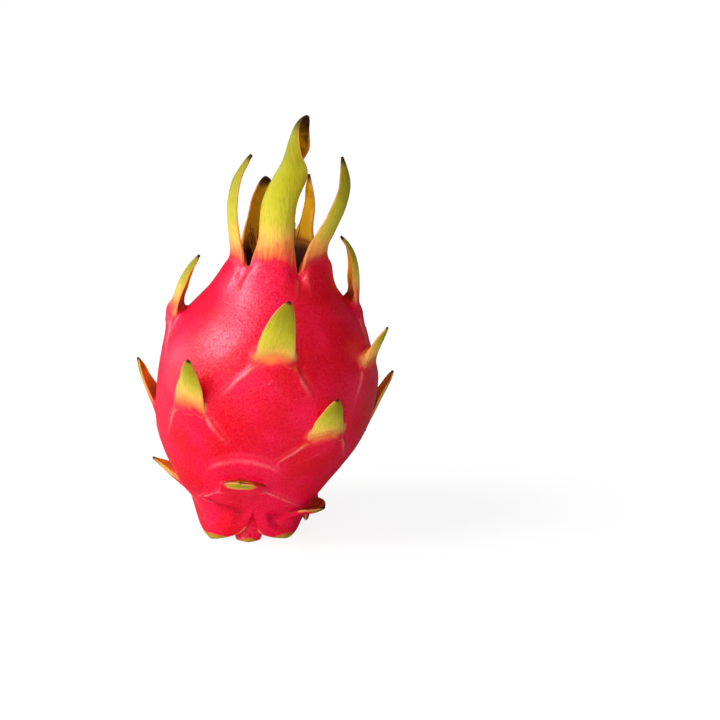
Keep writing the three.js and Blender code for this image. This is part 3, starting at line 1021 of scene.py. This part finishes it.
def make_camera():
    camera = bpy.data.objects.new("camera", bpy.data.cameras.new("camera"))
    bpy.context.scene.collection.objects.link(camera)
    elevation = math.radians(CAMERA_ELEVATION)
    toward = Vector((0, -math.cos(elevation), math.sin(elevation)))
    camera.location = toward * CAMERA_DISTANCE
    # From looking straight at the origin, it turns until the origin falls on its pixel
    straight = (-toward).to_track_quat("-Z", "Y")
    focal = CAMERA_DISTANCE / (PIXEL_MM * MM)
    pixel = Vector((BASE_PIXEL[0] - FRAME_PIXELS / 2, FRAME_PIXELS / 2 - BASE_PIXEL[1], -focal))
    camera.rotation_mode = "QUATERNION"
    camera.rotation_quaternion = straight @ pixel.rotation_difference(Vector((0, 0, -1)))
    camera.data.sensor_width = SENSOR_WIDTH
    camera.data.lens = SENSOR_WIDTH * focal / FRAME_PIXELS
    camera.data.clip_start = 0.05
    camera.data.clip_end = 50
    bpy.context.scene.camera = camera


# Soft lights: the direction each comes from, its strength, its angle and whether the skin mirrors it
LIGHTS = {
    "left": ((-0.7, -0.2, 0.66), 2.8, 34, True),
    "front": ((-0.36, -0.88, -0.16), 2.95, 80, False),
    "left_back": ((-0.85, 0.3, -0.1), 1.5, 50, True),
    "right": ((0.5, -0.4, 0.77), 0.4, 60, False),
    "back": ((0.3, 0.93, 0.2), 0.9, 60, False),
}
WORLD_LIGHT = 0.15
FLOOR_SIZE = 20000
FLOOR_GREY = rgb(0.16, 0.16, 0.16)
FLOOR_GLOW = 0.86
FLOOR_BOUNCE = rgb(0.4, 0.4, 0.4)  # what the floor throws back on the fruit
FLOOR_MIRRORED = rgb(0.12, 0.12, 0.12)  # and what the skin mirrors of it


def make_light(name, toward, strength, angle, mirrored):
    light = bpy.data.lights.new(name, "SUN")
    light.energy = strength
    light.angle = math.radians(angle)
    lamp = bpy.data.objects.new(name, light)
    lamp.visible_glossy = mirrored
    lamp.rotation_mode = "QUATERNION"
    lamp.rotation_quaternion = Vector(toward).to_track_quat("Z", "Y")
    bpy.context.scene.collection.objects.link(lamp)


def make_floor_material():
    """Pale in the picture, but it throws little light back on the fruit."""
    material, tree, shader = new_material("floor")
    nodes = Nodes(tree)
    shader.inputs["Base Color"].default_value = FLOOR_GREY
    shader.inputs["Roughness"].default_value = 0.9
    shader.inputs["Emission Color"].default_value = rgb(1, 1, 1)
    shader.inputs["Emission Strength"].default_value = FLOOR_GLOW
    shader.inputs["Specular IOR Level"].default_value = 0
    path = nodes.add("ShaderNodeLightPath").outputs
    dull = nodes.blend(path["Is Glossy Ray"], FLOOR_BOUNCE, FLOOR_MIRRORED)
    dim = nodes.add("ShaderNodeBsdfDiffuse", Color=dull)
    both = nodes.add("ShaderNodeMixShader")
    for socket, value in zip(both.inputs, (path["Is Camera Ray"], dim.outputs[0], shader.outputs[0])):
        nodes.feed(socket, value)
    nodes.feed(tree.nodes["Material Output"].inputs["Surface"], both.outputs[0])
    return material


def make_studio():
    world = bpy.data.worlds.new("studio")
    world.use_nodes = True
    background = world.node_tree.nodes["Background"]
    background.inputs["Color"].default_value = rgb(1, 1, 1)
    background.inputs["Strength"].default_value = WORLD_LIGHT
    world.cycles_visibility.glossy = False
    bpy.context.scene.world = world
    for name, light in LIGHTS.items():
        make_light(name, *light)

    bm = bmesh.new()
    bmesh.ops.create_grid(bm, x_segments=1, y_segments=1, size=FLOOR_SIZE)
    floor = finish_mesh(bm, "floor")
    floor.data.materials.append(make_floor_material())
    floor.visible_shadow = False
    bpy.context.scene.view_settings.view_transform = "Standard"


make_camera()
make_studio()
